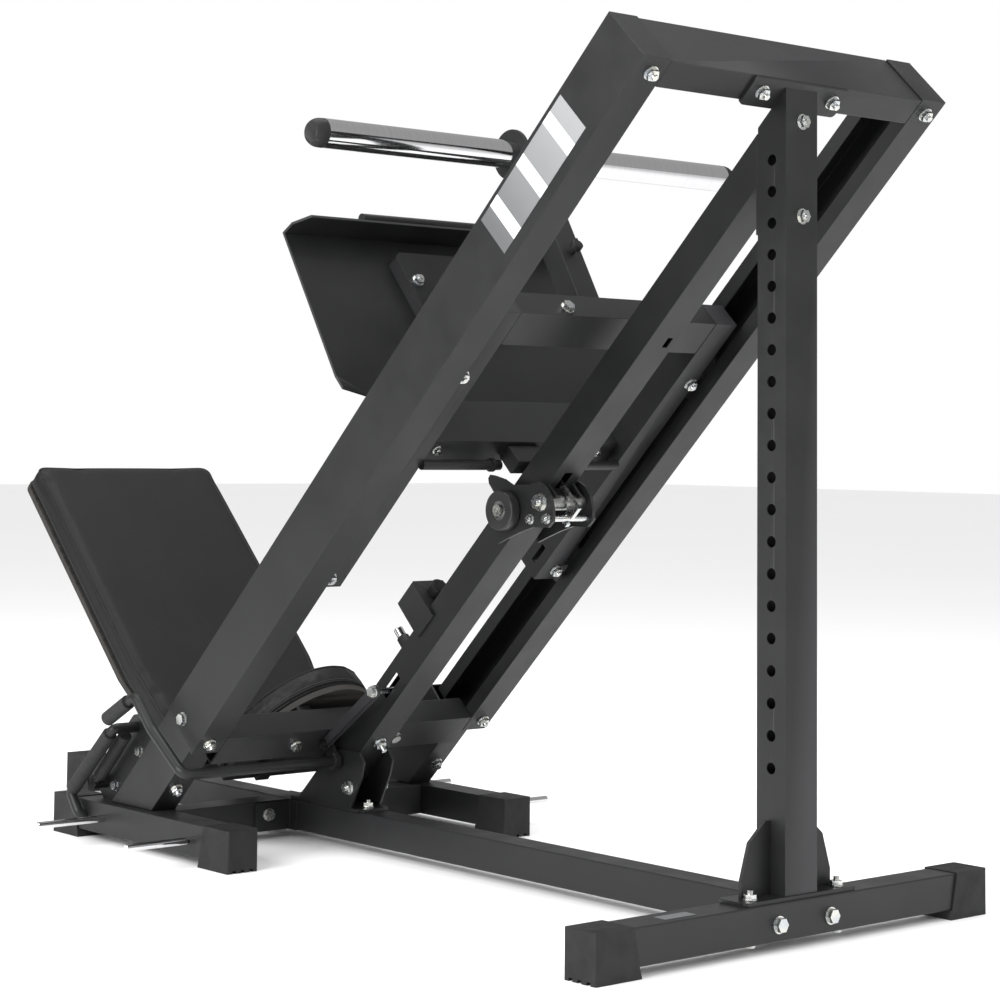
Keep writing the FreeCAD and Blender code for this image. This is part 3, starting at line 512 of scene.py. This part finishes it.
def back_pad():
    """Front face square to the rails, rounded corners, narrower towards the seat."""
    spots = rail_points("back_pad")
    half = max(p.x for p in spots)
    top = max(p.y for p in spots)
    bottom = min(p.y for p in spots)
    low = min(p.z for p in spots)
    high = max(p.z for p in spots)
    low_half = max(p.x for p in spots if p.y < bottom + 0.002) + pad_corner
    taper = taper_height(spots, half)
    corners = [Vector((-half, top)), Vector((-half, taper)), Vector((-low_half, bottom))]
    corners += [Vector((-c.x, c.y)) for c in reversed(corners)]
    outline = resampled(rounded(corners, pad_corner), outline_step[0])

    def lift(point, height):
        return slope @ Vector((point.x, point.y, height))

    def drop(co):
        return to_rail @ co

    seam, piping = back_seam_depths
    seams = [("front_piping", piping_depth, piping_r, "black_vinyl", 0.15),
             ("side_seam", seam, seam_r, "thread", 0.0),
             ("back_piping", piping, piping_r, "black_vinyl", 0.0)]
    upholster("back_cushion", "back_pad", outline, low, high, lift, drop, seams)


def taper_height(spots, half):
    """Lowest S at which the pad still has its full width."""
    return min(p.y for p in spots if abs(abs(p.x) - half) < 0.0005)


def seat_pad():
    """Round-nosed seat; its top is parallel to the rails."""
    spots = rail_points("seat_pad")
    half = max(p.x for p in spots)
    tip = max(p.z for p in spots)
    back = min(p.z for p in spots)
    low = min(p.y for p in spots)
    high = max(p.y for p in spots)
    start = tip - seat_nose
    arc = [Vector((half * math.cos(a), start + (tip - start) * math.sin(a)))
           for a in (math.pi * k / 48 for k in range(49))]
    outline = resampled(arc + [Vector((-half, back)), Vector((half, back))], outline_step[1])

    def lift(point, height):
        return slope @ Vector((point.x, height, point.y))

    def drop(co):
        local = to_rail @ co
        return Vector((local.x, local.z, local.y))

    seam, piping = seat_seam_depths
    seams = [("top_piping", piping_depth, piping_r, "black_vinyl", 0.15),
             ("low_seam", seam, seam_r, "thread", 0.0),
             ("low_piping", piping, piping_r, "black_vinyl", 0.0)]
    upholster("seat_cushion", "seat_pad", outline, low, high, lift, drop, seams)


# ---- stage --------------------------------------------------------------------------------
def area_light(name, place, target, size, power):
    light = bpy.data.lights.new(name, "AREA")
    light.shape = "RECTANGLE"
    light.size, light.size_y = size
    light.energy = power
    made = bpy.data.objects.new(name, light)
    made.location = place
    made.rotation_euler = (Vector(target) - Vector(place)).to_track_quat("-Z", "Y").to_euler()
    bpy.context.collection.objects.link(made)


def build_stage():
    """Pale floor, white surroundings that look dimmer in reflections, and three softboxes."""
    bpy.ops.mesh.primitive_plane_add(size=floor_size, location=(0, 0, 0))
    floor = bpy.context.object
    floor.name = "floor"
    m = Shader("floor", rough=0.55)
    floor.data.materials.append(m.use(m.ramp(m.noise(0.6), (0.955, 0.955, 0.955), (0.965, 0.965, 0.965))))
    world = bpy.data.worlds.new("studio")
    world.use_nodes = True
    back = world.node_tree.nodes["Background"]
    back.inputs["Color"].default_value = (1, 1, 1, 1)
    mirrored = world.node_tree.nodes.new("ShaderNodeLightPath").outputs["Is Glossy Ray"]
    strength = world.node_tree.nodes.new("ShaderNodeMapRange")
    strength.inputs["To Min"].default_value = sky_direct
    strength.inputs["To Max"].default_value = sky_mirrored
    world.node_tree.links.new(mirrored, strength.inputs["Value"])
    world.node_tree.links.new(strength.outputs["Result"], back.inputs["Strength"])
    bpy.context.scene.world = world
    bpy.context.scene.view_settings.view_transform = "Standard"
    area_light("left_softbox", (-4.2, -0.6, 2.4), light_target, (3.2, 2.2), 230)
    area_light("rear_softbox", (0.8, -4.2, 2.6), light_target, (2.4, 2.4), 70)
    area_light("top_softbox", (0, 0.4, 4.6), light_target, (3.5, 3.5), 120)


def build_camera():
    """Perspective camera with a shifted lens; its frame is built from yaw, pitch and roll."""
    yaw = math.radians(camera_yaw)
    pitch = math.radians(camera_pitch)
    roll = math.radians(camera_roll)
    ahead = Vector((math.sin(yaw) * math.cos(pitch), math.cos(yaw) * math.cos(pitch), math.sin(pitch)))
    level = Vector((math.cos(yaw), -math.sin(yaw), 0))
    up = level.cross(ahead)
    right = level * math.cos(roll) + up * math.sin(roll)
    up = up * math.cos(roll) - level * math.sin(roll)
    data = bpy.data.cameras.new("camera")
    data.lens = camera_lens
    data.sensor_width = 36
    data.shift_x, data.shift_y = camera_shift
    data.clip_end = 100
    camera = bpy.data.objects.new("camera", data)
    camera.matrix_world = Matrix((right, up, -ahead)).transposed().to_4x4()
    camera.location = camera_at
    bpy.context.collection.objects.link(camera)
    bpy.context.scene.camera = camera


build_camera()
build_stage()
dress_frame()
back_pad()
seat_pad()
